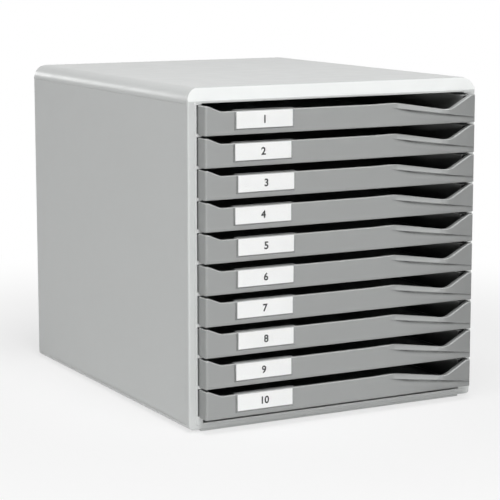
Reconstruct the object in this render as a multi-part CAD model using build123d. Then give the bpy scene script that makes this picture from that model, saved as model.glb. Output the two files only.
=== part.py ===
"""Desktop drawer organizer: a moulded housing with ten paper drawers that slide out of its front.

Millimetres, +Z up, +X to the right as one faces the drawers, which look along -Y.
The origin is on the table, at the middle of the whole footprint.
"""
import os

from build123d import *

# Drawer front
DRAWER_COUNT = 10
FRONT_WIDTH = 267.0
FRONT_PROJECTION = 14.0
SHOULDER_HEIGHT = 24.5
MIDDLE_HEIGHT = 19.6
LEFT_SHOULDER_LENGTH = 2.7
LEFT_SLOPE_LENGTH = 11.8
LEFT_SLOPE_RADIUS = 12.0
CREST_RISE = 0.5
CREST_FROM_END = 82.5
CREST_START_FROM_END = 105.5
CREST_RADIUS = 100.0
CREST_START_RADIUS = 200.0
NOTCH_FROM_END = 26.8
NOTCH_HEIGHT = 11.7
NOTCH_RADIUS = 15.0
RIGHT_SHOULDER_LENGTH = 4.0
SHOULDER_RADIUS = 3.0
FRONT_WALL = 2.4
FRONT_CORNER_RADIUS = 1.8
FRONT_EDGE_BEVEL = 0.5
FRONT_FOOT_RADIUS = 1.0
FRONT_REAR_BEVEL = 1.8

# Finger grip in the right half of each front, with its places counted from the right end
GRIP_WALL = 4.6
GRIP_RAMP_START = 97.5
GRIP_RAMP_END = 77.5
CREASE_START = 89.5
CREASE_START_HEIGHT = 16.4
CREASE_SLOPE = -0.133
LIP_SET_BACK = 3.1
LIP_HEIGHT = 4.1
LIP_FULL_START = 75.5
LIP_FULL_END = 41.5
LIP_END = 21.5
SCOOP_DEPTH = 2.0
SCOOP_HEIGHT = 7.0
SCOOP_FULL_START = 63.5
SCOOP_FULL_END = 33.5
SCOOP_END_DEPTH = 0.6

# Tray behind the front
TRAY_LIFT = 1.2
TRAY_DROP = 1.3
FLOOR_WALL = 1.8
TRAY_WALL = 1.8
REAR_WALL = 2.0
RIM_WIDTH = 7.3
RIM_AHEAD = 4.0
TRAY_CORNER_BEVEL = 2.5
TRAY_INNER_BEVEL = 3.0
REAR_GAP = 0.4

# Stops that keep a drawer from being pulled right out
DRAWER_TRAVEL = 260.0
STOP_GAP = 0.3
LUG_LENGTH = 6.0
LUG_RAMP = 9.0
LUG_HEIGHT = 6.0
LUG_RISE = 8.0
LUG_REACH = 3.1

# Label holder and card
CARD_WIDTH = 53.0
CARD_HEIGHT = 14.0
CARD_THICKNESS = 0.3
CARD_PLAY = 0.1
CARD_FROM_END = 28.6
CARD_BOTTOM = 5.1
HOLDER_WALL = 0.9
HOLDER_RIM_LEFT = 1.9
HOLDER_RIM_RIGHT = 1.1
HOLDER_RIM_BOTTOM = 1.1
HOLDER_HOOK_DROP = 6.0
HOLDER_BEVEL = 0.4
# The clips are pushed on by hand, so each sits a little to one side of the last, from the top down
HOLDER_SHIFTS = (0.0, -1.2, 1.6, -1.2, 1.6, 1.3, 0.6, 1.6, -0.5, 0.8)

# Housing
FRONT_GAP = 2.0
SIDE_GAP = 1.15
FLOOR_GAP = 5.1
HEAD_GAP = 1.4
HOUSING_DEPTH = 336.0
HOUSING_WALL = 2.6
TOP_EDGE_RADIUS = 12.5
BOTTOM_EDGE_RADIUS = 4.5
TOP_SEAM_DROP = 13.0
BOTTOM_SEAM_RISE = 4.5
SEAM_BEVEL = 0.4
BACK_WALL = 2.6
BACK_RECESS = 0.8
BACK_RECESS_MARGIN = 22.0
BACK_RECESS_RADIUS = 10.0
COVER_RIB_COUNT = 5
COVER_RIB_THICKNESS = 1.6
COVER_RIB_HEIGHT = 4.0

# Front frame
BORDER_SIDE = 7.85
BORDER_TOP = 12.7
BORDER_BOTTOM = 5.8
FRAME_DEPTH = 6.0
SLOPE_DEPTH = 5.0
FRAME_EDGE_RADIUS = 1.5
SLOPE_BEND_RADIUS = 8.0
SLOPE_EDGE_RADIUS = 0.8
OPENING_RADIUS = 1.0
BEAD_WIDTH = 1.8
BEAD_PROUD = 0.6
BEAD_BEVEL = 0.4
NUB_REACH = 4.8
NUB_BEVEL = 0.7
NUB_GAP = 0.2
FRONT_REAR_GAP = 0.3

# Tongues with which the frame, the cover and the bottom reach inside the side panels
TONGUE_LENGTH = 8.0
TONGUE_WALL = 1.8
TONGUE_REACH = 5.0
FIT_GAP = 0.1
INNER_RADIUS_MIN = 0.4

# Runners inside the side panels
RUNNER_WALL = 2.0
RUNNER_GAP = 0.2
RUNNER_BEARING = 2.9
GUIDE_WALL = 1.6
GUIDE_HEIGHT = 3.2
GUIDE_GAP = 0.6

# Plinth and feet
FOOT_PROUD = 0.5
PLINTH_HEIGHT = 1.5
PLINTH_INSET = 12.0
PLINTH_WIDTH = 20.0
FOOT_RADIUS = 6.5
FOOT_SEAT_DEPTH = 1.0
FOOT_SEAT_GAP = 0.15

# Places that follow from the sizes above
BASE_Z = FOOT_PROUD + PLINTH_HEIGHT
PITCH = SHOULDER_HEIGHT + FRONT_GAP
OPENING_BOTTOM = BASE_Z + BORDER_BOTTOM
FIRST_FRONT_Z = OPENING_BOTTOM + FLOOR_GAP
OPENING_TOP = FIRST_FRONT_Z + (DRAWER_COUNT - 1) * PITCH + SHOULDER_HEIGHT + HEAD_GAP
TOP_Z = OPENING_TOP + BORDER_TOP
FRONT_HALF = FRONT_WIDTH / 2
OPENING_HALF = FRONT_HALF + SIDE_GAP
HALF_WIDTH = OPENING_HALF + BORDER_SIDE
INNER_HALF = HALF_WIDTH - HOUSING_WALL
SEAM_TOP_Z = TOP_Z - TOP_SEAM_DROP
SEAM_BOTTOM_Z = BASE_Z + BOTTOM_SEAM_RISE
CARD_LEFT_X = -FRONT_HALF + CARD_FROM_END
CREASE_START_X = FRONT_HALF - CREASE_START
LIP_FULL_X = (FRONT_HALF - LIP_FULL_START, FRONT_HALF - LIP_FULL_END)
LIP_END_X = FRONT_HALF - LIP_END
SCOOP_FULL_X = (FRONT_HALF - SCOOP_FULL_START, FRONT_HALF - SCOOP_FULL_END)
CARD_POCKET = CARD_THICKNESS + 2 * CARD_PLAY
HOLDER_PROUD = CARD_POCKET + HOLDER_WALL
FACE_Y = HOLDER_PROUD + FRONT_PROJECTION - (HOUSING_DEPTH + FRONT_PROJECTION + HOLDER_PROUD) / 2
TONGUE_END_Y = FRAME_DEPTH + TONGUE_LENGTH
TONGUE_OUTER = INNER_HALF - FIT_GAP
TONGUE_INNER = TONGUE_OUTER - TONGUE_WALL
BACK_INNER_Y = HOUSING_DEPTH - BACK_WALL
FRONT_REAR_Y = -(BEAD_PROUD + FRONT_REAR_GAP)
TRAY_TOP = SHOULDER_HEIGHT - TRAY_DROP
TRAY_FLOOR_TOP = TRAY_LIFT + FLOOR_WALL
TRAY_REAR_Y = BACK_INNER_Y - REAR_GAP
TRAY_END_Y = TRAY_REAR_Y - REAR_WALL
RIM_INNER_HALF = FRONT_HALF - RIM_WIDTH
SKIRT_HALF = FRONT_HALF - TRAY_WALL
LUG_Y = FRAME_DEPTH + STOP_GAP + DRAWER_TRAVEL
RUNNER_TOP = TRAY_LIFT - RUNNER_GAP
PANEL_START_Y = TONGUE_END_Y + FIT_GAP
PANEL_END_Y = BACK_INNER_Y - FIT_GAP
FOOT_PLACES = [
    (x, y)
    for y in (FRAME_DEPTH + PLINTH_WIDTH / 2, HOUSING_DEPTH - PLINTH_INSET - PLINTH_WIDTH / 2)
    for x in (-HALF_WIDTH + PLINTH_INSET + PLINTH_WIDTH / 2, HALF_WIDTH - PLINTH_INSET - PLINTH_WIDTH / 2)
]
OVERSHOOT = 5.0
GRAZE = 0.03
SECTION_STEPS = 3


def prism_y(face, y_front, y_rear):
    """Solid from a face drawn in X and Z, between two depths behind the frame's face."""
    return extrude(Plane.XZ.offset(-y_rear) * face, amount=y_rear - y_front)


def prism_x(face, x_left, x_right):
    """Solid from a face drawn in Y and Z, between two places along X."""
    return extrude(Plane.YZ.offset(x_left) * face, amount=x_right - x_left)


def prism_z(face, z_low, z_high):
    """Solid from a face drawn in X and Y, between two heights."""
    return extrude(Plane.XY.offset(z_low) * face, amount=z_high - z_low)


def span(x_low, x_high, y_low, y_high):
    """Rectangle between two corners."""
    middle = Pos((x_low + x_high) / 2, (y_low + y_high) / 2)
    return middle * Rectangle(x_high - x_low, y_high - y_low)


def polygon(*corners):
    """Flat face with straight sides."""
    return make_face(Polyline(*corners, close=True))


def rounded(face, x, y, radius):
    """The face with the corner nearest to a place rounded."""
    return fillet(face.vertices().sort_by_distance((x, y, 0))[0], radius)


def both_sides(solid):
    """A solid at the right and its mirror image at the left."""
    return solid + mirror(solid, Plane.YZ)


def eased(value, start, end):
    """Share between 0 and 1 that rises gently from one place to another."""
    share = min(max((value - start) / (end - start), 0), 1)
    return share * share * (3 - 2 * share)


def front_z(index):
    """Height of the underside of a drawer front, counted from the bottom drawer."""
    return FIRST_FRONT_Z + index * PITCH


def housing_outline(inset):
    """Cross-section of the housing in X and Z, drawn in by an inset."""
    half = HALF_WIDTH - inset
    face = span(-half, half, BASE_Z + inset, TOP_Z - inset)
    low_radius = max(BOTTOM_EDGE_RADIUS - inset, INNER_RADIUS_MIN)
    for x in (-half, half):
        face = rounded(face, x, TOP_Z - inset, TOP_EDGE_RADIUS - inset)
        face = rounded(face, x, BASE_Z + inset, low_radius)
    return face


def opening_outline(margin, radius):
    """The drawer opening in X and Z, grown by a margin."""
    half = OPENING_HALF + margin
    face = span(-half, half, OPENING_BOTTOM - margin, OPENING_TOP + margin)
    return fillet(face.vertices(), radius)


def nub_outline(index, root):
    """The nub below a drawer in X and Z: it fills the gap at the drawer's end, bevelled at its tip."""
    tip = OPENING_HALF - NUB_REACH
    low = front_z(index) - FRONT_GAP + NUB_GAP if index else OPENING_BOTTOM - BEAD_WIDTH / 2
    high = front_z(index) + RUNNER_TOP
    return polygon(
        (root, low),
        (tip + NUB_BEVEL, low),
        (tip, low + NUB_BEVEL),
        (tip, high),
        (root, high),
    )


def frame_side_view():
    """The frame in Y and Z: upright face, then a rail that leans back up to the cover."""
    bend_z = OPENING_TOP + BEAD_WIDTH
    face = polygon(
        (FRAME_DEPTH, BASE_Z),
        (0, BASE_Z),
        (0, bend_z),
        (SLOPE_DEPTH, TOP_Z),
        (FRAME_DEPTH, TOP_Z),
    )
    face = rounded(face, 0, BASE_Z, FRAME_EDGE_RADIUS)
    face = rounded(face, 0, bend_z, SLOPE_BEND_RADIUS)
    return rounded(face, SLOPE_DEPTH, TOP_Z, SLOPE_EDGE_RADIUS)


def frame_top_view():
    """The frame in X and Y, with its upright outer edges rounded."""
    face = span(-HALF_WIDTH, HALF_WIDTH, 0, FRAME_DEPTH)
    return fillet(face.vertices().group_by(Axis.Y)[0], FRAME_EDGE_RADIUS)


def front_frame():
    """Frame round the drawers: leaning top rail, upright borders, raised bead, nubs and tongue."""
    frame = prism_y(housing_outline(0), 0, FRAME_DEPTH)
    frame &= prism_x(frame_side_view(), -HALF_WIDTH, HALF_WIDTH)
    frame &= prism_z(frame_top_view(), BASE_Z, TOP_Z)
    bead = prism_y(opening_outline(BEAD_WIDTH, OPENING_RADIUS + BEAD_WIDTH), -BEAD_PROUD, FRAME_DEPTH)
    frame += chamfer(bead.faces().sort_by(Axis.Y)[0].edges(), BEAD_BEVEL)
    plinth = span(-HALF_WIDTH + PLINTH_INSET, HALF_WIDTH - PLINTH_INSET, FOOT_PROUD, OPENING_BOTTOM)
    frame += prism_y(plinth, FRAME_EDGE_RADIUS, FRAME_DEPTH)
    tongue_gap = HOUSING_WALL + FIT_GAP
    tongue = housing_outline(tongue_gap) - housing_outline(tongue_gap + TONGUE_WALL)
    frame += prism_y(tongue, FRAME_DEPTH, TONGUE_END_Y)
    frame -= prism_y(opening_outline(0, OPENING_RADIUS), -OVERSHOOT, FRAME_DEPTH)
    for index in range(DRAWER_COUNT + 1):
        nub = prism_y(nub_outline(index, OPENING_HALF + BEAD_WIDTH / 2), -BEAD_PROUD, FRAME_DEPTH)
        nub += prism_y(nub_outline(index, TONGUE_OUTER), FRAME_DEPTH, TONGUE_END_Y)
        frame += both_sides(nub)
    return frame


def shell_ring(z_low, z_high):
    """The part of the housing wall between two heights, behind the frame."""
    ring = housing_outline(0) - housing_outline(HOUSING_WALL)
    ring &= span(-HALF_WIDTH, HALF_WIDTH, z_low, z_high)
    return prism_y(ring, FRAME_DEPTH, HOUSING_DEPTH)


def side_tongues(z_seam, direction):
    """Two long tongues at a seam: rooted in one panel, they reach inside the side panels."""
    reach = sorted((z_seam, z_seam - direction * TONGUE_REACH))
    root = sorted((z_seam, z_seam + direction * TONGUE_REACH))
    outline = span(TONGUE_INNER, TONGUE_OUTER, *reach)
    outline += span(TONGUE_INNER, INNER_HALF + HOUSING_WALL / 2, *root) & housing_outline(HOUSING_WALL / 2)
    return both_sides(prism_y(outline, PANEL_START_Y, PANEL_END_Y))


def top_cover():
    """Cover over the housing: it wraps over both upper edges and has cross ribs underneath."""
    cover = shell_ring(SEAM_TOP_Z, TOP_Z) + side_tongues(SEAM_TOP_Z, 1)
    rib_half = HALF_WIDTH - TOP_EDGE_RADIUS
    rib_step = (PANEL_END_Y - PANEL_START_Y) / COVER_RIB_COUNT
    rib_face = span(-rib_half, rib_half, TOP_Z - HOUSING_WALL - COVER_RIB_HEIGHT, TOP_Z - HOUSING_WALL / 2)
    for index in range(COVER_RIB_COUNT):
        y = PANEL_START_Y + (index + 0.5) * rib_step
        cover += prism_y(rib_face, y - COVER_RIB_THICKNESS / 2, y + COVER_RIB_THICKNESS / 2)
    return cover


def bottom_panel():
    """Floor of the housing with rounded lower edges and a plinth ring that holds the feet."""
    panel = shell_ring(BASE_Z, SEAM_BOTTOM_Z) + side_tongues(SEAM_BOTTOM_Z, -1)
    half = HALF_WIDTH - PLINTH_INSET
    rear = HOUSING_DEPTH - PLINTH_INSET
    ring = span(-half, half, FRAME_DEPTH, rear)
    ring -= span(-half + PLINTH_WIDTH, half - PLINTH_WIDTH, FRAME_DEPTH + PLINTH_WIDTH, rear - PLINTH_WIDTH)
    panel += prism_z(ring, FOOT_PROUD, BASE_Z + HOUSING_WALL / 2)
    for x, y in FOOT_PLACES:
        seat = Pos(x, y) * Circle(FOOT_RADIUS + FOOT_SEAT_GAP)
        panel -= prism_z(seat, FOOT_PROUD - OVERSHOOT, FOOT_PROUD + FOOT_SEAT_DEPTH)
    return panel


def rubber_foot(x, y):
    """Rubber disc that stands a little proud of the plinth."""
    return prism_z(Pos(x, y) * Circle(FOOT_RADIUS), 0, FOOT_PROUD + FOOT_SEAT_DEPTH)


def side_panel():
    """Right side of the housing with an L-shaped runner for every drawer."""
    panel = prism_y(span(INNER_HALF, HALF_WIDTH, SEAM_BOTTOM_Z, SEAM_TOP_Z), FRAME_DEPTH, HOUSING_DEPTH)
    panel = chamfer(panel.faces().sort_by(Axis.X)[-1].edges(), SEAM_BEVEL)
    guide_x = FRONT_HALF + GUIDE_GAP
    for index in range(DRAWER_COUNT):
        top = front_z(index) + RUNNER_TOP
        runner = span(FRONT_HALF - RUNNER_BEARING, INNER_HALF + HOUSING_WALL / 2, top - RUNNER_WALL, top)
        runner += span(guide_x, guide_x + GUIDE_WALL, top - RUNNER_WALL / 2, top + GUIDE_HEIGHT)
        panel += prism_y(runner, PANEL_START_Y, PANEL_END_Y)
    return panel


def back_panel():
    """Back of the housing with a shallow recessed field outside."""
    panel = prism_y(housing_outline(HOUSING_WALL + FIT_GAP), BACK_INNER_Y, HOUSING_DEPTH)
    half = HALF_WIDTH - BACK_RECESS_MARGIN
    field = span(-half, half, BASE_Z + BACK_RECESS_MARGIN, TOP_Z - BACK_RECESS_MARGIN)
    field = fillet(field.vertices(), BACK_RECESS_RADIUS)
    return panel - prism_y(field, HOUSING_DEPTH - BACK_RECESS, HOUSING_DEPTH + OVERSHOOT)


def front_outline():
    """A drawer front in X and Z: high shoulders, a level middle, a crest and the notch for a finger."""
    slope_top_x = -FRONT_HALF + LEFT_SHOULDER_LENGTH
    bends = [
        (FRONT_HALF - RIGHT_SHOULDER_LENGTH, SHOULDER_HEIGHT, SHOULDER_RADIUS),
        (FRONT_HALF - NOTCH_FROM_END, NOTCH_HEIGHT, NOTCH_RADIUS),
        (FRONT_HALF - CREST_FROM_END, MIDDLE_HEIGHT + CREST_RISE, CREST_RADIUS),
        (FRONT_HALF - CREST_START_FROM_END, MIDDLE_HEIGHT, CREST_START_RADIUS),
        (slope_top_x + LEFT_SLOPE_LENGTH, MIDDLE_HEIGHT, LEFT_SLOPE_RADIUS),
        (slope_top_x, SHOULDER_HEIGHT, SHOULDER_RADIUS),
    ]
    face = polygon(
        (FRONT_HALF, 0),
        (FRONT_HALF, SHOULDER_HEIGHT),
        *[(x, z) for x, z, radius in bends],
        (-FRONT_HALF, SHOULDER_HEIGHT),
        (-FRONT_HALF, 0),
    )
    for x, z, radius in bends:
        face = rounded(face, x, z, radius)
    return face


def crease_z(x):
    """Height of the crease that divides the finger grip's lip from its scoop."""
    return CREASE_START_HEIGHT + CREASE_SLOPE * (x - CREASE_START_X)


def lip_section(x):
    """What is taken off above the crease at a place along the front, in Y and Z."""
    share = eased(x, CREASE_START_X, LIP_FULL_X[0]) - eased(x, LIP_FULL_X[1], LIP_END_X)
    low = crease_z(x)
    rise = SHOULDER_HEIGHT
    face_y = -FRONT_PROJECTION - GRAZE
    section = polygon(
        (face_y - OVERSHOOT, low),
        (face_y, low),
        (face_y + share * LIP_SET_BACK / LIP_HEIGHT * rise, low + rise),
        (face_y - OVERSHOOT, low + rise),
    )
    return Plane.YZ.offset(x) * section


def scoop_section(x):
    """What is taken off below the crease at a place along the front, in Y and Z."""
    depth = SCOOP_DEPTH * eased(x, CREASE_START_X, SCOOP_FULL_X[0])
    depth += (SCOOP_END_DEPTH - SCOOP_DEPTH) * eased(x, SCOOP_FULL_X[1], FRONT_HALF)
    high = crease_z(x)
    face_y = -FRONT_PROJECTION - GRAZE
    foot = (face_y, high - SCOOP_HEIGHT)
    crease = (face_y + depth + GRAZE / 2, high)
    arc = TangentArc(foot, crease, tangent=(0, 1))
    rest = Polyline(crease, (face_y - OVERSHOOT, high), (face_y - OVERSHOOT, high - SCOOP_HEIGHT), foot)
    return Plane.YZ.offset(x) * make_face([arc, rest])


def section_places(*ends):
    """The given places along the front and even steps between them."""
    places = [ends[0]]
    for start, end in zip(ends, ends[1:]):
        places += [start + (end - start) * step / SECTION_STEPS for step in range(1, SECTION_STEPS + 1)]
    return places


def grip_cuts():
    """Lip band and scoop of the finger grip, each swept through its sections along the front."""
    lip = loft([lip_section(x) for x in section_places(CREASE_START_X, *LIP_FULL_X, LIP_END_X)])
    scoop_places = section_places(CREASE_START_X, *SCOOP_FULL_X, FRONT_HALF)
    scoop_places.append(FRONT_HALF + OVERSHOOT)
    return lip + loft([scoop_section(x) for x in scoop_places])


def front_block():
    """The solid bar a drawer front is hollowed from, with its outer edges rounded."""
    block = prism_y(front_outline(), -FRONT_PROJECTION, FRONT_REAR_Y)
    top_view = span(-FRONT_HALF, FRONT_HALF, -FRONT_PROJECTION, FRONT_REAR_Y)
    top_view = fillet(top_view.vertices().group_by(Axis.Y)[0], FRONT_CORNER_RADIUS)
    block &= prism_z(top_view, 0, SHOULDER_HEIGHT)
    side_view = span(-FRONT_PROJECTION, FRONT_REAR_Y, 0, SHOULDER_HEIGHT)
    side_view = rounded(side_view, -FRONT_PROJECTION, 0, FRONT_FOOT_RADIUS)
    heel = side_view.vertices().sort_by_distance((FRONT_REAR_Y, 0, 0))[0]
    side_view = chamfer(heel, FRONT_REAR_BEVEL)
    block &= prism_x(side_view, -FRONT_HALF, FRONT_HALF)
    upper = block.edges().filter_by_position(Axis.Y, -FRONT_PROJECTION, -FRONT_PROJECTION)
    upper = upper.filter_by(lambda edge: edge.center().Z > NOTCH_HEIGHT and abs(edge.center().X) < SKIRT_HALF)
    return chamfer(upper, FRONT_EDGE_BEVEL)


def front_cavity():
    """Space behind the front wall, in X and Y: the wall is thicker where the finger grips it."""
    thin_y = -FRONT_PROJECTION + FRONT_WALL
    thick_y = -FRONT_PROJECTION + GRIP_WALL
    return polygon(
        (-SKIRT_HALF, thin_y),
        (FRONT_HALF - GRIP_RAMP_START, thin_y),
        (FRONT_HALF - GRIP_RAMP_END, thick_y),
        (SKIRT_HALF, thick_y),
        (SKIRT_HALF, -RIM_AHEAD),
        (-SKIRT_HALF, -RIM_AHEAD),
    )


def stop_lug():
    """Lug on the right flank of the tray; the ramp behind it lets the drawer be pushed in."""
    root = FRONT_HALF - TRAY_WALL / 2
    tip = FRONT_HALF + LUG_REACH
    end = LUG_Y + LUG_LENGTH
    face = polygon(
        (root, LUG_Y),
        (tip, LUG_Y),
        (tip, end),
        (FRONT_HALF, end + LUG_RAMP),
        (root, end + LUG_RAMP),
    )
    return prism_z(face, TRAY_LIFT + LUG_RISE, TRAY_LIFT + LUG_RISE + LUG_HEIGHT)


def drawer():
    """One drawer as a single moulding, with the underside of its front at height 0."""
    above = SHOULDER_HEIGHT + OVERSHOOT
    tray = span(-FRONT_HALF, FRONT_HALF, -RIM_AHEAD, TRAY_REAR_Y)
    tray = chamfer(tray.vertices().group_by(Axis.Y)[-1], TRAY_CORNER_BEVEL)
    body = front_block() + prism_z(tray, TRAY_LIFT, TRAY_TOP)
    body -= prism_z(front_cavity(), TRAY_FLOOR_TOP, above)
    body -= prism_z(span(-SKIRT_HALF, SKIRT_HALF, -RIM_AHEAD, OVERSHOOT), TRAY_TOP, above)
    inside = span(-RIM_INNER_HALF, RIM_INNER_HALF, -RIM_AHEAD - TRAY_WALL / 2, TRAY_END_Y)
    inside = chamfer(inside.vertices().group_by(Axis.Y)[-1], TRAY_INNER_BEVEL)
    body -= prism_z(inside, TRAY_FLOOR_TOP, above)
    channel = span(RIM_INNER_HALF + TRAY_WALL, SKIRT_HALF, -RIM_AHEAD + TRAY_WALL, TRAY_END_Y)
    body -= both_sides(prism_z(channel, -OVERSHOOT, TRAY_TOP - TRAY_WALL))
    recess = span(-SKIRT_HALF, SKIRT_HALF, -FRONT_PROJECTION + FRONT_WALL, OVERSHOOT)
    body -= prism_z(recess, -OVERSHOOT, TRAY_LIFT)
    body -= grip_cuts()
    return body + both_sides(stop_lug())


def label_holder():
    """Clear clip hooked over the front wall, with a shallow pocket for the card behind its window."""
    left = CARD_LEFT_X - CARD_PLAY - HOLDER_RIM_LEFT
    right = CARD_LEFT_X + CARD_WIDTH + CARD_PLAY + HOLDER_RIM_RIGHT
    low = CARD_BOTTOM - CARD_PLAY - HOLDER_RIM_BOTTOM
    face_y = -FRONT_PROJECTION
    front_y = face_y - HOLDER_PROUD
    bridge_z = MIDDLE_HEIGHT + FIT_GAP
    leg_y = face_y + FRONT_WALL + FIT_GAP
    side_view = polygon(
        (front_y, low),
        (face_y, low),
        (face_y, bridge_z),
        (leg_y, bridge_z),
        (leg_y, bridge_z - HOLDER_HOOK_DROP),
        (leg_y + HOLDER_WALL, bridge_z - HOLDER_HOOK_DROP),
        (leg_y + HOLDER_WALL, bridge_z + HOLDER_WALL),
        (front_y, bridge_z + HOLDER_WALL),
    )
    clip = prism_x(side_view, left, right)
    clip = chamfer(clip.faces().sort_by(Axis.Y)[0].edges(), HOLDER_BEVEL)
    pocket = span(left + HOLDER_RIM_LEFT, right - HOLDER_RIM_RIGHT, low + HOLDER_RIM_BOTTOM, bridge_z)
    return clip - prism_y(pocket, face_y - CARD_POCKET, face_y)


def label_card():
    """Paper card in the pocket of a label holder."""
    outline = span(CARD_LEFT_X, CARD_LEFT_X + CARD_WIDTH, CARD_BOTTOM, CARD_BOTTOM + CARD_HEIGHT)
    rear_y = -FRONT_PROJECTION - CARD_PLAY
    return prism_y(outline, rear_y - CARD_THICKNESS, rear_y)


def export_piece(name, shape, x=0, z=0):
    """Write one piece, moved from its own place to the frame of the whole object."""
    export_step(Pos(x, FACE_Y, z) * shape, f"parts/{name}.step")


def main():
    """Build every piece and write it."""
    os.makedirs("parts", exist_ok=True)
    export_piece("front_frame", front_frame())
    export_piece("top_cover", top_cover())
    export_piece("bottom_panel", bottom_panel())
    export_piece("back_panel", back_panel())
    right_side = side_panel()
    export_piece("right_side_panel", right_side)
    export_piece("left_side_panel", mirror(right_side, Plane.YZ))
    for number, (x, y) in enumerate(FOOT_PLACES, start=1):
        export_piece(f"rubber_foot_{number}", rubber_foot(x, y))
    one_drawer = drawer()
    one_holder = label_holder()
    one_card = label_card()
    for number in range(1, DRAWER_COUNT + 1):
        shift = HOLDER_SHIFTS[(number - 1) % len(HOLDER_SHIFTS)]
        z = front_z(DRAWER_COUNT - number)
        export_piece(f"drawer_{number:02d}", one_drawer, z=z)
        export_piece(f"label_holder_{number:02d}", one_holder, x=shift, z=z)
        export_piece(f"label_card_{number:02d}", one_card, x=shift, z=z)


if __name__ == "__main__":
    main()
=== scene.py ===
"""Looks of the desktop drawer organizer: finishes, label numbers, floor, light and camera.

Everything is in metres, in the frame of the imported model: X to the right, Y towards the back, Z up.
"""

import logging
import math
from dataclasses import dataclass, field
from enum import Enum

import bpy
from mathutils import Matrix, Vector

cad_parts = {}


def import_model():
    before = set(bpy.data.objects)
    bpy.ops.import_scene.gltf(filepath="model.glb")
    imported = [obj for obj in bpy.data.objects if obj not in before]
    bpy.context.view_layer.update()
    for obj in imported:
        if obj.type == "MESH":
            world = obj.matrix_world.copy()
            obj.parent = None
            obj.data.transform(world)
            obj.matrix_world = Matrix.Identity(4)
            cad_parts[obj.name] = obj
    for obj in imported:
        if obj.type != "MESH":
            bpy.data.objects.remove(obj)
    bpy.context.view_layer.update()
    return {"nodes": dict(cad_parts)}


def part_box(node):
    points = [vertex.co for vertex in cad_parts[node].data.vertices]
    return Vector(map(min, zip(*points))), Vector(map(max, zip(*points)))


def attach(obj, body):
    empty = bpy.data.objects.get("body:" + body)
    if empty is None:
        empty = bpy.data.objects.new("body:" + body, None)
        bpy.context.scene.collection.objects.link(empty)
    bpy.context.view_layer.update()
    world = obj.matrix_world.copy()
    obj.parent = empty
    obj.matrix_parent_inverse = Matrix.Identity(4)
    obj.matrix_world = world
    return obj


log = logging.getLogger("organizer")

Colour = tuple[float, float, float]
Place = tuple[float, float, float]


class Tone(Enum):
    """Linear colours of the organizer's materials."""

    HOUSING_GREY = (0.620, 0.634, 0.627)
    DRAWER_GREY = (0.328, 0.336, 0.332)
    CARD_WHITE = (0.955, 0.960, 0.955)
    CLEAR = (0.900, 0.915, 0.910)
    RUBBER_BLACK = (0.018, 0.018, 0.019)
    INK_BLACK = (0.012, 0.012, 0.013)
    FLOOR_WHITE = (0.880, 0.880, 0.880)
    PURE_WHITE = (1.0, 1.0, 1.0)
    DUST = (0.62, 0.61, 0.59)
    DUSTY_RUBBER = (0.055, 0.054, 0.052)
    THIN_INK = (0.05, 0.05, 0.052)


class Finish(Enum):
    """The finishes of the organizer's pieces, with the names of their materials."""

    HOUSING = "Light grey housing plastic"
    COVER = "Light grey cover plastic"
    DRAWER = "Mid grey drawer plastic"
    HOLDER = "Clear holder plastic"
    CARD = "White label card"
    FOOT = "Black foot rubber"
    PRINT = "Black print"


class Effect(Enum):
    """The surface effects that finishes share, with the names of their node groups."""

    MOULD_GRAIN = "Mould grain"
    TONE_DRIFT = "Tone drift"
    # Edge masks for real wear and for painted highlights.
    WORN_EDGES = "Worn edges"
    # Painted shade in inner corners and under ledges.
    CREASE_GRIME = "Crease grime"
    # Painted highlight on faces that lean back.
    RUBBED_LEAN = "Rubbed lean"
    # Painted shade on the right ends of upright faces.
    HANDLED_GRIP = "Handled grip"
    SETTLED_DUST = "Settled dust"


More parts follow.
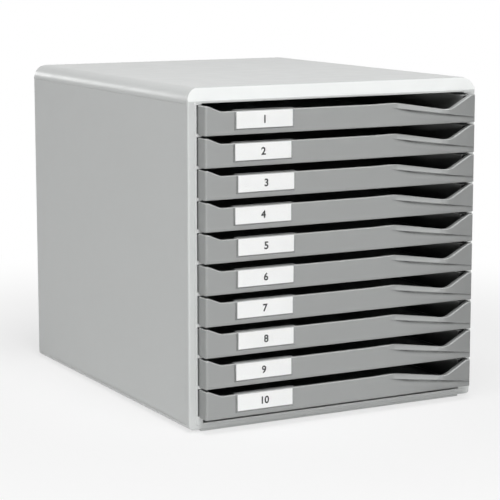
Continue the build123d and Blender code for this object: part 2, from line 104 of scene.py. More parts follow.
@dataclass
class Board:
    """A node tree with short calls to add nodes and join their sockets.

    Attributes:
        tree: the node tree that is filled.
    """

    tree: bpy.types.NodeTree

    def add(self, kind: str, **settings: object) -> bpy.types.Node:
        """Add a node.

        Args:
            kind: Blender's type name of the node.
            **settings: attributes to set on the node.

        Returns:
            The new node.
        """
        node = self.tree.nodes.new(kind)
        for name, value in settings.items():
            setattr(node, name, value)
        return node

    def feed(self, node: bpy.types.Node, **values: object) -> bpy.types.Node:
        """Give a node's inputs their values or the sockets that drive them.

        Args:
            node: the node whose inputs are set.
            **values: input name with underscores for spaces, and a number, colour or output socket.

        Returns:
            The same node.
        """
        for name, value in values.items():
            self.plug(node.inputs[name.replace("_", " ")], value)
        return node

    def plug(self, socket: bpy.types.NodeSocket, value: object) -> None:
        """Join an output socket to an input, or set the input's own value.

        Args:
            socket: the input socket.
            value: an output socket, a number or a sequence of numbers.
        """
        if isinstance(value, bpy.types.NodeSocket):
            self.tree.links.new(value, socket)
        else:
            socket.default_value = value

    def math(self, operation: str, first: object, second: object = 0.0) -> bpy.types.NodeSocket:
        """Combine two numbers.

        Args:
            operation: Blender's name of the operation.
            first: a number or socket.
            second: a number or socket.

        Returns:
            The socket with the result.
        """
        node = self.add("ShaderNodeMath", operation=operation)
        self.plug(node.inputs[0], first)
        self.plug(node.inputs[1], second)
        return node.outputs[0]

    def ramp(
        self, value: object, low: object, high: object, start: float = 0.0, end: float = 1.0
    ) -> bpy.types.NodeSocket:
        """Map a number smoothly from one range to another.

        Args:
            value: the number's socket.
            low: value or socket that becomes start.
            high: value or socket that becomes end.
            start: result at low.
            end: result at high.

        Returns:
            The socket with the result.
        """
        node = self.add("ShaderNodeMapRange", interpolation_type="SMOOTHSTEP")
        for index, item in enumerate((value, low, high, start, end)):
            self.plug(node.inputs[index], item)
        return node.outputs[0]

    def blend(self, share: object, first: object, second: object) -> bpy.types.NodeSocket:
        """Mix two colours.

        Args:
            share: how much of the second colour shows.
            first: colour or socket.
            second: colour or socket.

        Returns:
            The socket with the mixed colour.
        """
        node = self.add("ShaderNodeMix", data_type="RGBA")
        self.plug(node.inputs[0], share)
        self.plug(node.inputs[6], rgba(first) if isinstance(first, tuple) else first)
        self.plug(node.inputs[7], rgba(second) if isinstance(second, tuple) else second)
        return node.outputs[2]

    def noise(
        self, place: bpy.types.NodeSocket, scale: object, detail: float = 3.0
    ) -> bpy.types.NodeSocket:
        """Cloudy noise between 0 and 1.

        Args:
            place: socket with the place on the surface.
            scale: cells per metre.
            detail: octaves.

        Returns:
            The socket with the noise.
        """
        node = self.add("ShaderNodeTexNoise")
        self.feed(node, Vector=place, Scale=scale, Detail=detail)
        return node.outputs[0]


def rgba(colour: Colour) -> tuple[float, float, float, float]:
    """A colour with full opacity."""
    return (*colour, 1.0)


def lighter(tone: Tone, lift: float) -> Colour:
    """A tone made lighter by a share of itself, at most white."""
    return tuple(min(1.0, part * (1.0 + lift)) for part in tone.value)


class Effects:
    """Surface effects that several finishes share, each a node group that is built once."""

    def __init__(self) -> None:
        """Start with no group built."""
        self.built: dict[Effect, bpy.types.NodeTree] = {}

    def start(
        self, effect: Effect, inputs: dict[str, float], outputs: dict[str, str]
    ) -> tuple[Board, bpy.types.Node, bpy.types.Node]:
        """Make an empty group with its sockets.

        Args:
            effect: the effect that the group makes.
            inputs: number inputs with their usual values.
            outputs: outputs with their socket types.

        Returns:
            The board to build on, the node with the inputs and the node for the outputs.
        """
        tree = bpy.data.node_groups.new(effect.value, "ShaderNodeTree")
        for label, usual in inputs.items():
            socket = tree.interface.new_socket(label, in_out="INPUT", socket_type="NodeSocketFloat")
            socket.default_value = usual
        for label, kind in outputs.items():
            tree.interface.new_socket(label, in_out="OUTPUT", socket_type=kind)
        self.built[effect] = tree
        board = Board(tree)
        return board, board.add("NodeGroupInput"), board.add("NodeGroupOutput")

    def place(self, board: Board, effect: Effect, **values: object) -> bpy.types.Node:
        """Put a shared group into a material.

        Args:
            board: the material's board.
            effect: the effect that is wanted.
            **values: input name with underscores for spaces, and its value or socket.

        Returns:
            The group's node in the material.
        """
        node = board.add("ShaderNodeGroup", node_tree=self.built[effect])
        return board.feed(node, **values)

    def build(self) -> None:
        """Build every group."""
        self.build_mould_grain()
        self.build_tone_drift()
        self.build_worn_edges()
        self.build_crease_grime()
        self.build_rubbed_lean()
        self.build_handled_grip()
        self.build_settled_dust()
        log.info("effects: %s", ", ".join(effect.value for effect in self.built))

    def build_mould_grain(self) -> None:
        """Fine texture of an eroded mould: soft grains with smaller pits between them."""
        board, given, result = self.start(
            Effect.MOULD_GRAIN,
            {"Grains per metre": 1500.0, "Pits": 0.35},
            {"Height": "NodeSocketFloat", "Gloss": "NodeSocketFloat"},
        )
        place = board.add("ShaderNodeTexCoord").outputs["Object"]
        scale = given.outputs["Grains per metre"]
        grains = board.noise(place, scale, 2.0)
        cells = board.add("ShaderNodeTexVoronoi")
        board.feed(cells, Vector=place, Scale=board.math("MULTIPLY", scale, 1.7))
        pits = board.math("MULTIPLY", cells.outputs["Distance"], given.outputs["Pits"])
        height = board.math("ADD", grains, pits)
        patches = board.noise(place, 55.0, 4.0)
        board.plug(result.inputs["Height"], height)
        board.plug(result.inputs["Gloss"], board.ramp(patches, 0.3, 0.7, -1.0, 1.0))

    def build_tone_drift(self) -> None:
        """Very slow change of tone over a moulding, with faint flow lines."""
        board, given, result = self.start(
            Effect.TONE_DRIFT,
            {"Amount": 0.02, "Flow": 0.4},
            {"Factor": "NodeSocketFloat"},
        )
        place = board.add("ShaderNodeTexCoord").outputs["Object"]
        clouds = board.noise(place, 9.0, 2.0)
        stretch = board.add("ShaderNodeMapping")
        board.feed(stretch, Vector=place, Scale=(14.0, 1.6, 14.0))
        flow = board.noise(stretch.outputs[0], 3.0, 3.0)
        both = board.math("ADD", clouds, board.math("MULTIPLY", flow, given.outputs["Flow"]))
        centred = board.math("SUBTRACT", both, 0.7)
        change = board.math("MULTIPLY", centred, given.outputs["Amount"])
        board.plug(result.inputs["Factor"], board.math("ADD", change, 1.0))

    def build_worn_edges(self) -> None:
        """Rounded normal over sharp edges, a mask of all edges, used for wear and for painted
        highlights, and a mask of those that look up, used for painted highlights.
        """
        board, given, result = self.start(
            Effect.WORN_EDGES,
            {"Radius": 0.0005, "Breaks per metre": 160.0},
            {"Mask": "NodeSocketFloat", "Upper highlight": "NodeSocketFloat", "Normal": "NodeSocketVector"},
        )
        bevel = board.add("ShaderNodeBevel", samples=6)
        board.feed(bevel, Radius=given.outputs["Radius"])
        flat = board.add("ShaderNodeNewGeometry").outputs["Normal"]
        match = board.add("ShaderNodeVectorMath", operation="DOT_PRODUCT")
        board.plug(match.inputs[0], bevel.outputs[0])
        board.plug(match.inputs[1], flat)
        bend = board.math("SUBTRACT", 1.0, match.outputs["Value"])
        edge = board.ramp(bend, 0.004, 0.16)
        place = board.add("ShaderNodeTexCoord").outputs["Object"]
        breaks = board.noise(place, given.outputs["Breaks per metre"], 4.0)
        patchy = board.math("MULTIPLY", edge, board.ramp(breaks, 0.25, 0.7, 0.35, 1.0))
        board.plug(result.inputs["Mask"], patchy)
        split = board.add("ShaderNodeSeparateXYZ")
        board.plug(split.inputs[0], bevel.outputs[0])
        # The edges that look up carry a painted highlight.
        upward = board.ramp(split.outputs["Z"], 0.08, 0.45)
        slight = board.ramp(bend, 0.002, 0.06)
        smooth = board.math("MULTIPLY", slight, board.ramp(breaks, 0.25, 0.7, 0.8, 1.0))
        board.plug(result.inputs["Upper highlight"], board.math("MULTIPLY", smooth, upward))
        board.plug(result.inputs["Normal"], bevel.outputs[0])

    def build_crease_grime(self) -> None:
        """Painted shade: darkening in the inner corners of a moulding and under its ledges, where less
        light reaches.
        """
        board, given, result = self.start(
            Effect.CREASE_GRIME,
            {"Reach": 0.012, "Amount": 0.4},
            {"Factor": "NodeSocketFloat"},
        )
        hollow = board.add("ShaderNodeAmbientOcclusion", samples=8, only_local=True)
        board.feed(hollow, Distance=given.outputs["Reach"])
        closed = board.math("SUBTRACT", 1.0, hollow.outputs["AO"])
        depth = board.math("MINIMUM", board.math("MULTIPLY", closed, 2.2), 1.0)
        darkening = board.math("MULTIPLY", depth, given.outputs["Amount"])
        board.plug(result.inputs["Factor"], board.math("SUBTRACT", 1.0, darkening))

    def build_rubbed_lean(self) -> None:
        """Mask of the faces that lean back by one angle, for a painted highlight where they face the
        light from above.
        """
        board, given, result = self.start(
            Effect.RUBBED_LEAN,
            {"Rise": 0.366},
            {"Mask": "NodeSocketFloat"},
        )
        split = board.add("ShaderNodeSeparateXYZ")
        board.plug(split.inputs[0], board.add("ShaderNodeNewGeometry").outputs["Normal"])
        away = board.math("ABSOLUTE", board.math("SUBTRACT", split.outputs["Z"], given.outputs["Rise"]))
        forward = board.ramp(split.outputs["Y"], -0.75, -0.35, 1.0, 0.0)
        place = board.add("ShaderNodeTexCoord").outputs["Object"]
        lean_patches = board.ramp(board.noise(place, 24.0, 4.0), 0.3, 0.7, 0.9, 1.0)
        lean = board.math("MULTIPLY", board.ramp(away, 0.10, 0.22, 1.0, 0.0), forward)
        board.plug(result.inputs["Mask"], board.math("MULTIPLY", lean, lean_patches))

    def build_handled_grip(self) -> None:
        """Painted shade: the upright faces get darker towards the right end."""
        board, given, result = self.start(
            Effect.HANDLED_GRIP,
            {"Start": 0.040, "End": 0.135, "Amount": 0.25},
            {"Factor": "NodeSocketFloat"},
        )
        split = board.add("ShaderNodeSeparateXYZ")
        board.plug(split.inputs[0], board.add("ShaderNodeNewGeometry").outputs["Normal"])
        upright = board.ramp(split.outputs["Z"], 0.10, 0.35, 1.0, 0.0)
        place = board.add("ShaderNodeTexCoord").outputs["Object"]
        spot = board.add("ShaderNodeSeparateXYZ")
        board.plug(spot.inputs[0], place)
        along = board.ramp(spot.outputs["X"], given.outputs["Start"], given.outputs["End"])
        grip_patches = board.ramp(board.noise(place, 60.0, 4.0), 0.3, 0.7, 0.85, 1.0)
        share = board.math("MULTIPLY", board.math("MULTIPLY", along, upright), grip_patches)
        darkening = board.math("MULTIPLY", share, given.outputs["Amount"])
        board.plug(result.inputs["Factor"], board.math("SUBTRACT", 1.0, darkening))

    def build_settled_dust(self) -> None:
        """Thin dust on faces that look up, thicker in loose patches."""
        board, given, result = self.start(
            Effect.SETTLED_DUST,
            {"Amount": 0.1},
            {"Mask": "NodeSocketFloat"},
        )
        split = board.add("ShaderNodeSeparateXYZ")
        board.plug(split.inputs[0], board.add("ShaderNodeNewGeometry").outputs["Normal"])
        upward = board.ramp(split.outputs["Z"], 0.6, 1.0)
        place = board.add("ShaderNodeTexCoord").outputs["Object"]
        patches = board.ramp(board.noise(place, 38.0, 5.0), 0.35, 0.75, 0.4, 1.0)
        specks = board.ramp(board.noise(place, 900.0, 1.0), 0.66, 0.74)
        cover = board.math("ADD", patches, specks)
        settled = board.math("MULTIPLY", cover, upward)
        board.plug(result.inputs["Mask"], board.math("MULTIPLY", settled, given.outputs["Amount"]))


@dataclass(frozen=True)
class MouldedPlastic:
    """Matt moulded plastic with grain, polished edges and a trace of dust, with painted highlights and
    painted shade in its colour.

    Attributes:
        name: name of the material.
        tone: its colour.
        roughness: middle roughness.
        grains: mould grains per metre.
        grain_height: height of the grain in metres.
        edge_radius: radius that sharp edges show, in metres.
        edge_lift: how much lighter the handled edges are.
        upper_lift: how much lighter the edges that look up are, as a painted highlight.
        grime: how much darker the inner corners are, as painted shade.
        lean: upward part of the normal of the faces that get a painted highlight.
        lean_lift: how much lighter these faces are, as a painted highlight.
        grip_shade: how much darker the upright faces are at the right end, as painted shade.
        dust: share of dust on faces that look up.
        shine: level of the mirror-like reflection.
    """

    name: str
    tone: Tone
    roughness: float = 0.5
    grains: float = 1500.0
    grain_height: float = 0.000012
    edge_radius: float = 0.0005
    edge_lift: float = 0.12
    upper_lift: float = 0.12
    grime: float = 0.15
    lean: float = 0.366
    lean_lift: float = 0.20
    grip_shade: float = 0.0
    dust: float = 0.05
    shine: float = 0.5

    def build(self, effects: Effects) -> bpy.types.Material:
        """Make the material.

        Args:
            effects: the shared effects.

        Returns:
            The material.
        """
        material, board, surface = new_material(self.name)
        drift = effects.place(board, Effect.TONE_DRIFT, Amount=0.03)
        grain = effects.place(board, Effect.MOULD_GRAIN, Grains_per_metre=self.grains)
        edges = effects.place(board, Effect.WORN_EDGES, Radius=self.edge_radius)
        dust = effects.place(board, Effect.SETTLED_DUST, Amount=self.dust)
        tinted = board.add("ShaderNodeVectorMath", operation="SCALE")
        board.plug(tinted.inputs[0], self.tone.value)
        # Painted shade: inner corners and the undersides of ledges are darkened in the colour.
        crease_shading = effects.place(board, Effect.CREASE_GRIME, Amount=self.grime)
        shade = board.math("MULTIPLY", drift.outputs["Factor"], crease_shading.outputs["Factor"])
        # Painted shade: upright faces darken towards the right end.
        if self.grip_shade:
            grip = effects.place(board, Effect.HANDLED_GRIP, Amount=self.grip_shade)
            shade = board.math("MULTIPLY", shade, grip.outputs["Factor"])
        board.plug(tinted.inputs["Scale"], shade)
        worn_tone = lighter(self.tone, self.edge_lift)
        handled = board.blend(edges.outputs["Mask"], tinted.outputs[0], worn_tone)
        # Painted highlight: edges that look up are lightened in the colour.
        upper_lit = board.blend(edges.outputs["Upper highlight"], handled, lighter(self.tone, self.upper_lift))
        # Painted highlight: faces that lean back, such as the cover's rail and the drawers' lip bands,
        # are lightened in the colour.
        lean_highlight = effects.place(board, Effect.RUBBED_LEAN, Rise=self.lean)
        lean_lit = board.blend(lean_highlight.outputs["Mask"], upper_lit, lighter(self.tone, self.lean_lift))
        dusty = board.blend(dust.outputs["Mask"], lean_lit, Tone.DUST.value)
        board.plug(surface.inputs["Base Color"], dusty)
        gloss = board.math("MULTIPLY", grain.outputs["Gloss"], 0.03)
        worn = board.math("MULTIPLY", edges.outputs["Mask"], -0.08)
        rough = board.math("ADD", board.math("ADD", gloss, worn), self.roughness)
        board.plug(surface.inputs["Roughness"], rough)
        surface.inputs["Specular IOR Level"].default_value = self.shine
        bump = board.add("ShaderNodeBump")
        board.feed(bump, Height=grain.outputs["Height"], Strength=0.6, Distance=self.grain_height,
                   Normal=edges.outputs["Normal"])
        board.plug(surface.inputs["Normal"], bump.outputs[0])
        return material


@dataclass(frozen=True)
class ClearPlastic:
    """Clear glossy plastic of the label holders, with white edges as a painted highlight.

    Attributes:
        name: name of the material.
        body_share: how much of the surface shows seen straight on.
        rim_share: how much of it shows at a grazing angle.
        edge_share: how much of it shows at its edges, as a white painted highlight.
        roughness: middle roughness.
        bending: index of refraction.
        shine: level of the mirror-like reflection.
    """

    name: str
    body_share: float = 0.02
    rim_share: float = 0.62
    edge_share: float = 0.75
    roughness: float = 0.07
    bending: float = 1.5
    shine: float = 0.6

    def build(self, effects: Effects) -> bpy.types.Material:
        """Make the material.

        Args:
            effects: the shared effects.

        Returns:
            The material.
        """
        material, board, surface = new_material(self.name)
        edges = effects.place(board, Effect.WORN_EDGES, Radius=0.0004, Breaks_per_metre=400.0)
        grain = effects.place(board, Effect.MOULD_GRAIN, Grains_per_metre=700.0)
        # At a grazing angle more of the white surface shows: partly real gloss, partly painted
        # reflection.
        facing = board.add("ShaderNodeLayerWeight")
        board.feed(facing, Blend=0.35)
        rim = board.ramp(facing.outputs["Facing"], 0.2, 0.95, self.body_share, self.rim_share)
        # Painted highlight: the edges turn white and opaque where they would catch light.
        edge_glints = board.math("MULTIPLY", edges.outputs["Mask"], self.edge_share)
        alpha = board.math("MAXIMUM", rim, edge_glints)
        board.plug(surface.inputs["Alpha"], alpha)
        edge_lit = board.blend(edges.outputs["Mask"], Tone.CLEAR.value, Tone.PURE_WHITE.value)
        board.plug(surface.inputs["Base Color"], edge_lit)
        gloss = board.math("MULTIPLY", grain.outputs["Gloss"], 0.02)
        board.plug(surface.inputs["Roughness"], board.math("ADD", gloss, self.roughness))
        board.plug(surface.inputs["Normal"], edges.outputs["Normal"])
        surface.inputs["IOR"].default_value = self.bending
        surface.inputs["Specular IOR Level"].default_value = self.shine
        return material


@dataclass(frozen=True)
class PaperCard:
    """Smooth white card with faint fibres.

    Attributes:
        name: name of the material.
        fibre_height: height of the fibres in metres.
    """

    name: str
    fibre_height: float = 0.00002

    def build(self, effects: Effects) -> bpy.types.Material:
        """Make the material.

        Args:
            effects: the shared effects.

        Returns:
            The material.
        """
        material, board, surface = new_material(self.name)
        place = board.add("ShaderNodeTexCoord").outputs["Object"]
        stretch = board.add("ShaderNodeMapping")
        board.feed(stretch, Vector=place, Scale=(1.0, 1.0, 3.4))
        fibres = board.noise(stretch.outputs[0], 850.0, 5.0)
        drift = effects.place(board, Effect.TONE_DRIFT, Amount=0.02)
        fleck = board.ramp(fibres, 0.3, 0.7, 0.965, 1.0)
        shade = board.math("MULTIPLY", fleck, drift.outputs["Factor"])
        scaled = board.add("ShaderNodeVectorMath", operation="SCALE")
        board.plug(scaled.inputs[0], Tone.CARD_WHITE.value)
        board.plug(scaled.inputs["Scale"], shade)
        board.plug(surface.inputs["Base Color"], scaled.outputs[0])
        board.plug(surface.inputs["Roughness"], board.ramp(fibres, 0.2, 0.8, 0.62, 0.74))
        bump = board.add("ShaderNodeBump")
        board.feed(bump, Height=fibres, Strength=0.4, Distance=self.fibre_height)
        board.plug(surface.inputs["Normal"], bump.outputs[0])
        return material


@dataclass(frozen=True)
class FootRubber:
    """Dull black rubber, greyed with dust at its pores.

    Attributes:
        name: name of the material.
        roughness: middle roughness.
        grain_height: height of the grain in metres.
    """

    name: str
    roughness: float = 0.82
    grain_height: float = 0.00004

    def build(self, effects: Effects) -> bpy.types.Material:
        """Make the material.

        Args:
            effects: the shared effects.

        Returns:
            The material.
        """
        material, board, surface = new_material(self.name)
        grain = effects.place(board, Effect.MOULD_GRAIN, Grains_per_metre=2400.0, Pits=0.8)
        bloom = board.ramp(grain.outputs["Height"], 0.45, 1.0, 0.0, 0.5)
        greyed = board.blend(bloom, Tone.RUBBER_BLACK.value, Tone.DUSTY_RUBBER.value)
        board.plug(surface.inputs["Base Color"], greyed)
        gloss = board.math("MULTIPLY", grain.outputs["Gloss"], 0.05)
        board.plug(surface.inputs["Roughness"], board.math("ADD", gloss, self.roughness))
        bump = board.add("ShaderNodeBump")
        board.feed(bump, Height=grain.outputs["Height"], Strength=0.8, Distance=self.grain_height)
        board.plug(surface.inputs["Normal"], bump.outputs[0])
        return material


@dataclass(frozen=True)
class PrintedInk:
    """Black print that is a little uneven on the card's fibres.

    Attributes:
        name: name of the material.
        roughness: middle roughness.
    """

    name: str
    roughness: float = 0.5

    def build(self, effects: Effects) -> bpy.types.Material:
        """Make the material.

        Args:
            effects: the shared effects.

        Returns:
            The material.
        """
        material, board, surface = new_material(self.name)
        place = board.add("ShaderNodeTexCoord").outputs["Object"]
        thin = board.ramp(board.noise(place, 2600.0, 3.0), 0.35, 0.8, 0.0, 0.35)
        uneven = board.blend(thin, Tone.INK_BLACK.value, Tone.THIN_INK.value)
        board.plug(surface.inputs["Base Color"], uneven)
        grain = effects.place(board, Effect.MOULD_GRAIN, Grains_per_metre=1800.0)
        gloss = board.math("MULTIPLY", grain.outputs["Gloss"], 0.06)
        board.plug(surface.inputs["Roughness"], board.math("ADD", gloss, self.roughness))
        return material


def new_material(name: str) -> tuple[bpy.types.Material, Board, bpy.types.Node]:
    """Start a material with an empty tree and a Principled surface.

    Args:
        name: name of the material.

    Returns:
        The material, the board of its tree and the surface node.
    """
    material = bpy.data.materials.new(name)
    material.use_nodes = True
    material.node_tree.nodes.clear()
    board = Board(material.node_tree)
    surface = board.add("ShaderNodeBsdfPrincipled")
    output = board.add("ShaderNodeOutputMaterial")
    board.plug(output.inputs["Surface"], surface.outputs[0])
    return material, board, surface


@dataclass
class Workshop:
    """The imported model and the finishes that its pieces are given.

    Attributes:
        nodes: the CAD pieces by name.
        effects: the shared effects.
        finishes: the materials by finish.
    """

    nodes: dict[str, bpy.types.Object]
    effects: Effects = field(default_factory=Effects)
    finishes: dict[Finish, bpy.types.Material] = field(default_factory=dict)

    def build(self) -> None:
        """Build the effects and every finish."""
        self.effects.build()
        for recipe in (
            MouldedPlastic(
                Finish.HOUSING.value, Tone.HOUSING_GREY, roughness=0.40, dust=0.06, shine=0.3,
            ),
            # Painted highlights: the leaning rail and the edges that look up are lighter.
            MouldedPlastic(
                Finish.COVER.value, Tone.HOUSING_GREY, roughness=0.33, grain_height=0.000005,
                upper_lift=0.3, lean_lift=0.34, dust=0.05, shine=0.3,
            ),
            # Painted highlights on upper edges and lip bands; painted shade in creases and at the right
            # ends.
            MouldedPlastic(
                Finish.DRAWER.value, Tone.DRAWER_GREY, roughness=0.44, edge_lift=0.25, upper_lift=1.7,
                grime=0.7, lean=0.60, lean_lift=0.20, grip_shade=0.26, edge_radius=0.0009, shine=0.5,
            ),
            ClearPlastic(Finish.HOLDER.value),
            PaperCard(Finish.CARD.value),
            FootRubber(Finish.FOOT.value),
            PrintedInk(Finish.PRINT.value),
        ):
            self.finishes[Finish(recipe.name)] = recipe.build(self.effects)
            log.info("finish: %s", recipe.name)

    def dress(self, node: str, finish: Finish) -> None:
        """Give a CAD piece its finish.

        Args:
            node: name of the piece.
            finish: the finish that it gets.
        """
        piece = self.nodes[node]
        if not piece.material_slots:
            piece.data.materials.append(self.finishes[finish])
        for slot in piece.material_slots:
            slot.material = self.finishes[finish]
        log.info("piece %s: %s", node, finish.value)


@dataclass
class Housing:
    """The fixed box round the drawers.

    Attributes:
        fronts: the glossier moulded pieces.
        shell: the other moulded pieces.
        feet: number of rubber feet.
    """

    fronts: tuple[str, ...] = ("front_frame", "top_cover")
    shell: tuple[str, ...] = ("left_side_panel", "right_side_panel", "bottom_panel", "back_panel")
    feet: int = 4

    def build(self, workshop: Workshop) -> None:
        """Dress the shell and the feet.

        Args:
            workshop: the pieces and finishes.
        """
        for node in self.fronts:
            workshop.dress(node, Finish.COVER)
        for node in self.shell:
            workshop.dress(node, Finish.HOUSING)
        for number in range(1, self.feet + 1):
            workshop.dress(f"rubber_foot_{number}", Finish.FOOT)


@dataclass
class Label:
    """Clear holder, card and printed number of one drawer.

    Attributes:
        number: the drawer's number, counted from the top.
        figure_height: height of the printed figures.
        stroke_gain: how far the strokes swell past the font's outline, in font units.
        curve_steps: points along each curve of the font's outline.
        ink_depth: thickness of the print.
    """

    number: int
    figure_height: float = 0.0066
    stroke_gain: float = 0.028
    curve_steps: int = 8
    ink_depth: float = 0.00002

    def build(self, workshop: Workshop) -> None:
        """Dress the holder and the card and print the number.

        Args:
            workshop: the pieces and finishes.
        """
        workshop.dress(f"label_holder_{self.number:02d}", Finish.HOLDER)
        workshop.dress(f"label_card_{self.number:02d}", Finish.CARD)
        self.print_number(workshop)

    def print_number(self, workshop: Workshop) -> None:
        """Set the number on the front of the card as a thin mesh.

        Args:
            workshop: the pieces and finishes.
        """
        curve = bpy.data.curves.new(f"figure_curve_{self.number:02d}", "FONT")
        curve.body = str(self.number)
        curve.align_x = "CENTER"
        curve.align_y = "CENTER"
        curve.resolution_u = self.curve_steps
        curve.extrude = 0.5
        curve.bevel_depth = self.stroke_gain
        curve.bevel_resolution = 0
        source = bpy.data.objects.new(f"figure_source_{self.number:02d}", curve)
        mesh = bpy.data.meshes.new_from_object(source)
        bpy.data.objects.remove(source)
        spots = [vertex.co.copy() for vertex in mesh.vertices]
        low = Vector([min(spot[axis] for spot in spots) for axis in range(3)])
        high = Vector([max(spot[axis] for spot in spots) for axis in range(3)])
        middle = (low + high) / 2
        scale = self.figure_height / (high.y - low.y)
        card_low, card_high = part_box(f"label_card_{self.number:02d}")
        centre_x = (card_low[0] + card_high[0]) / 2
        centre_z = (card_low[2] + card_high[2]) / 2
        for vertex in mesh.vertices:
            spot = (vertex.co - middle) * scale
            depth = self.ink_depth * (0.5 if vertex.co.z > middle.z else -0.5)
            vertex.co = (centre_x + spot.x, card_low[1] - self.ink_depth - depth, centre_z + spot.y)
        mesh.materials.clear()
        mesh.materials.append(workshop.finishes[Finish.PRINT])
        piece = bpy.data.objects.new(f"label_number_{self.number:02d}", mesh)
        bpy.context.scene.collection.objects.link(piece)
        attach(piece, f"drawer_unit_{self.number:02d}")
        log.info("piece %s: printed number", piece.name)


@dataclass
class DrawerSet:
    """The drawers with their labels.

    Attributes:
        count: number of drawers.
    """

    count: int = 10

    def build(self, workshop: Workshop) -> None:
        """Dress every drawer and its label.

        Args:
            workshop: the pieces and finishes.
        """
        for number in range(1, self.count + 1):
            workshop.dress(f"drawer_{number:02d}", Finish.DRAWER)
            Label(number).build(workshop)


@dataclass
class SoftLamp:
    """A rectangular studio lamp that looks at the organizer.

    Attributes:
        name: name of the lamp.
        towards: direction from the organizer to the lamp.
        distance: how far away it stands.
        width: its width and height.
        power: its power in watts.
    """

    name: str
    towards: Place
    distance: float
    width: float
    power: float

    def build(self, target: Vector) -> None:
        """Put the lamp in the scene.

        Args:
            target: the point it looks at.
        """
        lamp = bpy.data.lights.new(self.name, "AREA")
        lamp.shape = "SQUARE"
        lamp.size = self.width
        lamp.energy = self.power
        holder = bpy.data.objects.new(self.name, lamp)
        direction = Vector(self.towards).normalized()
        holder.location = target + direction * self.distance
        holder.rotation_euler = direction.to_track_quat("Z", "Y").to_euler()
        bpy.context.scene.collection.objects.link(holder)
        log.info("lamp %s", self.name)


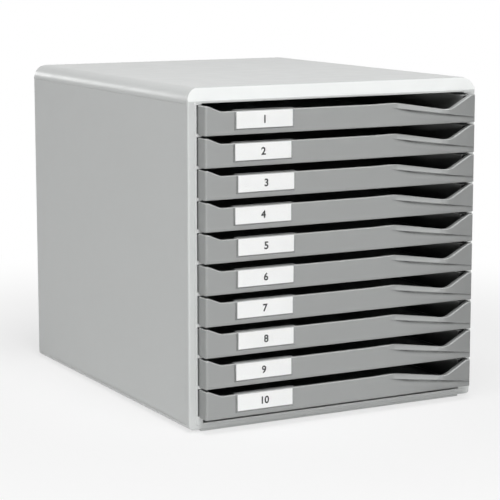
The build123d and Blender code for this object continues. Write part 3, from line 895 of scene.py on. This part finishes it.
@dataclass
class Studio:
    """Floor, white surroundings and lamps.

    Attributes:
        floor_half: half the side of the floor.
        ambient: strength of the light from all round.
        fade_start: distance at which the floor starts to turn white.
        fade_end: distance from which it is white.
        near_white: share of white before that.
        target: the point that the lamps look at.
    """

    floor_half: float = 6.0
    ambient: float = 0.04
    fade_start: float = 0.26
    fade_end: float = 0.75
    near_white: float = 0.70
    target: Place = (0.0, -0.08, 0.16)

    def build(self) -> None:
        """Build the floor, the surroundings and the lamps."""
        self.build_floor()
        self.build_world()
        middle = Vector(self.target)
        for lamp in (
            SoftLamp("front_lamp", (-0.15, -0.75, 0.65), distance=2.6, width=1.0, power=15.5),
            SoftLamp("low_lamp", (-0.25, -0.97, -0.03), distance=2.6, width=0.3, power=24.0),
            SoftLamp("side_lamp", (-0.93, -0.15, 0.33), distance=2.6, width=1.0, power=11.6),
            SoftLamp("top_lamp", (-0.10, -0.30, 0.95), distance=2.2, width=1.0, power=26.5),
            SoftLamp("rim_lamp", (-0.34, 0.91, 0.24), distance=2.5, width=0.45, power=4.6),
        ):
            lamp.build(middle)
        scene = bpy.context.scene
        scene.view_settings.view_transform = "Standard"

    def build_floor(self) -> None:
        """Lay a pale floor that shows the shadow near the organizer and is white further off."""
        half = self.floor_half
        mesh = bpy.data.meshes.new("floor")
        corner_places = [(-half, -half, 0), (half, -half, 0), (half, half, 0), (-half, half, 0)]
        mesh.from_pydata(corner_places, [], [(0, 1, 2, 3)])
        floor = bpy.data.objects.new("floor", mesh)
        bpy.context.scene.collection.objects.link(floor)
        material = bpy.data.materials.new("Pale floor")
        material.use_nodes = True
        material.node_tree.nodes.clear()
        board = Board(material.node_tree)
        matt = board.add("ShaderNodeBsdfDiffuse")
        board.feed(matt, Color=rgba(Tone.FLOOR_WHITE.value))
        glow = board.add("ShaderNodeEmission")
        board.feed(glow, Color=rgba(Tone.PURE_WHITE.value), Strength=1.0)
        place = board.add("ShaderNodeTexCoord").outputs["Object"]
        reach = board.add("ShaderNodeVectorMath", operation="LENGTH")
        board.plug(reach.inputs[0], place)
        far = board.ramp(reach.outputs["Value"], self.fade_start, self.fade_end, self.near_white)
        share = board.math("MULTIPLY", far, seen_ray(board))
        mixed = board.add("ShaderNodeMixShader")
        board.plug(mixed.inputs[0], share)
        board.plug(mixed.inputs[1], matt.outputs[0])
        board.plug(mixed.inputs[2], glow.outputs[0])
        output = board.add("ShaderNodeOutputMaterial")
        board.plug(output.inputs["Surface"], mixed.outputs[0])
        mesh.materials.append(material)
        log.info("floor laid")

    def build_world(self) -> None:
        """White surroundings for the eye and for gloss, dim light for everything else."""
        world = bpy.data.worlds.new("Studio surroundings")
        bpy.context.scene.world = world
        world.use_nodes = True
        world.node_tree.nodes.clear()
        board = Board(world.node_tree)
        strength = board.ramp(seen_ray(board), 0.0, 1.0, self.ambient, 1.0)
        glow = board.add("ShaderNodeBackground")
        board.feed(glow, Color=rgba(Tone.PURE_WHITE.value), Strength=strength)
        output = board.add("ShaderNodeOutputWorld")
        board.plug(output.inputs["Surface"], glow.outputs[0])
        log.info("surroundings set")


def seen_ray(board: Board) -> bpy.types.NodeSocket:
    """One for rays from the eye, from gloss and through clear plastic, and zero for the rest.

    Args:
        board: the tree that needs the value.

    Returns:
        The socket with the value.
    """
    path = board.add("ShaderNodeLightPath")
    gloss = board.math("MAXIMUM", path.outputs["Is Glossy Ray"], path.outputs["Is Transmission Ray"])
    return board.math("MAXIMUM", path.outputs["Is Camera Ray"], gloss)


@dataclass
class PhotoCamera:
    """Camera at the place from which the photograph was taken.

    Attributes:
        place: its position.
        yaw: how far it looks to the right of straight ahead, in degrees.
        pitch: how far it looks down, in degrees.
        lens: focal length in millimetres.
        film: width of the film in millimetres.
        nearest: nearest distance that is seen.
        farthest: farthest distance that is seen.
    """

    place: Place = (-0.8108, -1.5076, 0.4045)
    yaw: float = 28.324
    pitch: float = 9.366
    lens: float = 132.7
    film: float = 36.0
    nearest: float = 0.05
    farthest: float = 30.0

    def build(self) -> None:
        """Put the camera in the scene."""
        data = bpy.data.cameras.new("photo_camera")
        data.lens = self.lens
        data.sensor_width = self.film
        data.clip_start = self.nearest
        data.clip_end = self.farthest
        camera = bpy.data.objects.new("photo_camera", data)
        camera.location = self.place
        camera.rotation_euler = (math.radians(90.0 - self.pitch), 0.0, math.radians(-self.yaw))
        bpy.context.scene.collection.objects.link(camera)
        bpy.context.scene.camera = camera
        log.info("camera set")


def main() -> None:
    """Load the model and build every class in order."""
    logging.basicConfig(level=logging.INFO, format="%(message)s")
    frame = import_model()
    PhotoCamera().build()
    workshop = Workshop(frame["nodes"])
    workshop.build()
    Housing().build(workshop)
    DrawerSet().build(workshop)
    Studio().build()


if __name__ == "__main__":
    main()
